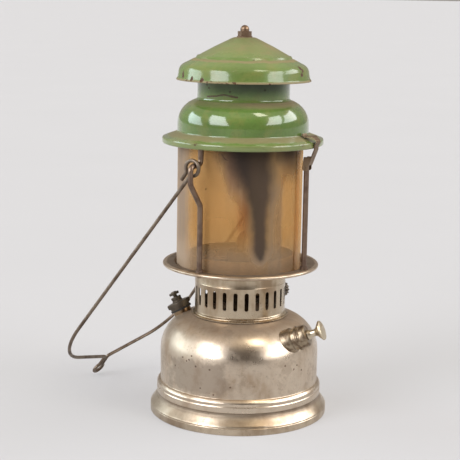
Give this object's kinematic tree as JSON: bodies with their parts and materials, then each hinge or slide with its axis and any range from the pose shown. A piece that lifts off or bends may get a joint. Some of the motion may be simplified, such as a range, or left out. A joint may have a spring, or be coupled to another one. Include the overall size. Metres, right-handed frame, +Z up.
{
  "type": "pressure lantern",
  "caption": "Pressure lantern with a domed tank, pump, filler, slotted collar, globe on a gallery plate, steel uprights, enamelled hood and cap, and a wire bail.",
  "frame": {"origin": "centre of the foot ring's resting face, on the tank's axis", "axes": "+Z up along the tank's axis; +X to the right and -Y towards the viewer of the picture"},
  "size_m": [0.2399, 0.2254, 0.35],
  "materials": {
    "aged_nickel": "worn nickel plate on brass, dulled and pitted",
    "green_enamel": "glossy vitreous enamel on sheet steel, chipped at its edges",
    "mica": "smoke-stained mica sheet",
    "wire_steel": "oxidised steel",
    "brass": "dull brass",
    "dark_fitting": "brass darkened nearly black, bare where it is handled",
    "rod_steel": "drawn steel",
    "rubber": "matt black",
    "pump_leather": "oiled",
    "ceramic": "unglazed, heat-stained",
    "mantle_silk": "fine burnt-off gauze"
  },
  "bodies": {
    "lantern": {"tank_shell": "aged_nickel", "foot_ring": "aged_nickel", "tank_bottom": "aged_nickel", "draught_collar": "aged_nickel", "gallery_plate": "aged_nickel", "top_ring": "aged_nickel", "globe_seat_ring": "aged_nickel", "pump_cap": "aged_nickel", "pump_flange": "aged_nickel", "ear_upright_front": "aged_nickel", "ear_upright_back": "aged_nickel", "clip_upright": "aged_nickel", "back_upright": "aged_nickel", "upright_nuts": "aged_nickel", "acorn_nut": "aged_nickel", "cap_stud": "aged_nickel", "cap_washer": "aged_nickel", "hood_body": "green_enamel", "hood_cap": "green_enamel", "globe": "mica", "clip_pin": "wire_steel", "cap_bridge": "wire_steel", "centre_boss": "brass", "fuel_riser": "brass", "fuel_block": "brass", "vaporiser_tube": "brass", "spirit_cup": "brass", "valve_body": "brass", "spindle_gland": "brass", "jet_nipple": "brass", "mixing_tube": "brass", "filler_boss": "brass", "pump_tube": "brass", "non_return_valve": "brass", "filler_gasket": "rubber", "burner_nozzle": "ceramic", "mantle": "mantle_silk"},
    "plunger": {"pump_rod": "rod_steel", "pump_knob": "aged_nickel", "pump_leather": "pump_leather", "pump_washer": "brass", "pump_nut": "brass"},
    "bail": {"bail": "wire_steel"},
    "hood_clip": {"hood_clip": "wire_steel"},
    "filler_seal": {"filler_seal": "rubber"},
    "filler_cap": {"filler_cap": "dark_fitting"},
    "release_screw": {"release_screw": "dark_fitting"},
    "control": {"control_wheel": "dark_fitting", "control_spindle": "brass", "wheel_nut": "brass"},
    "needle": {"cleaning_needle": "rod_steel"}
  },
  "joints": [
    {"name": "bail_swing", "type": "hinge", "parent": "lantern", "child": "bail", "pos_m": [0, 0, 0.2325], "axis": [0.5592, 0.829, 0], "range_deg": [0, 285.6]},
    {"name": "pump_stroke", "type": "slide", "parent": "lantern", "child": "plunger", "axis": [0.8858, -0.2374, 0.3987], "range_m": [0, 0.065]},
    {"name": "filler_cap_rise", "type": "slide", "parent": "lantern", "child": "filler_seal", "axis": [-0.448, 0.1117, 0.887], "range_m": [0, 0.00375]},
    {"name": "filler_cap_turn", "type": "hinge", "parent": "filler_seal", "child": "filler_cap", "pos_m": [-0.05254, 0.0131, 0.08709], "axis": [-0.448, 0.1117, 0.887], "range_deg": [0, 1080]},
    {"name": "release_screw_turn", "type": "hinge", "parent": "filler_cap", "child": "release_screw", "pos_m": [-0.05254, 0.0131, 0.08709], "axis": [-0.448, 0.1117, 0.887], "range_deg": [0, 720]},
    {"name": "control_wheel_turn", "type": "hinge", "parent": "lantern", "child": "control", "pos_m": [0, 0, 0.105], "axis": [0.7366, 0.6764, 0], "range_deg": [0, 180]},
    {"name": "needle_rise", "type": "slide", "parent": "lantern", "child": "needle", "axis": [0, 0, 1], "range_m": [0, 0.0016]},
    {"name": "hood_clip_swing", "type": "hinge", "parent": "lantern", "child": "hood_clip", "pos_m": [0.05568, -0.03215, 0.229], "axis": [0.5, 0.866, 0], "range_deg": [0, 70]}
  ],
  "couplings": [
    {"joint": "filler_cap_rise", "follows": "filler_cap_turn", "m_per_rad": 0.00019894},
    {"joint": "needle_rise", "follows": "control_wheel_turn", "m_per_rad": 0.0005093}
  ]
}
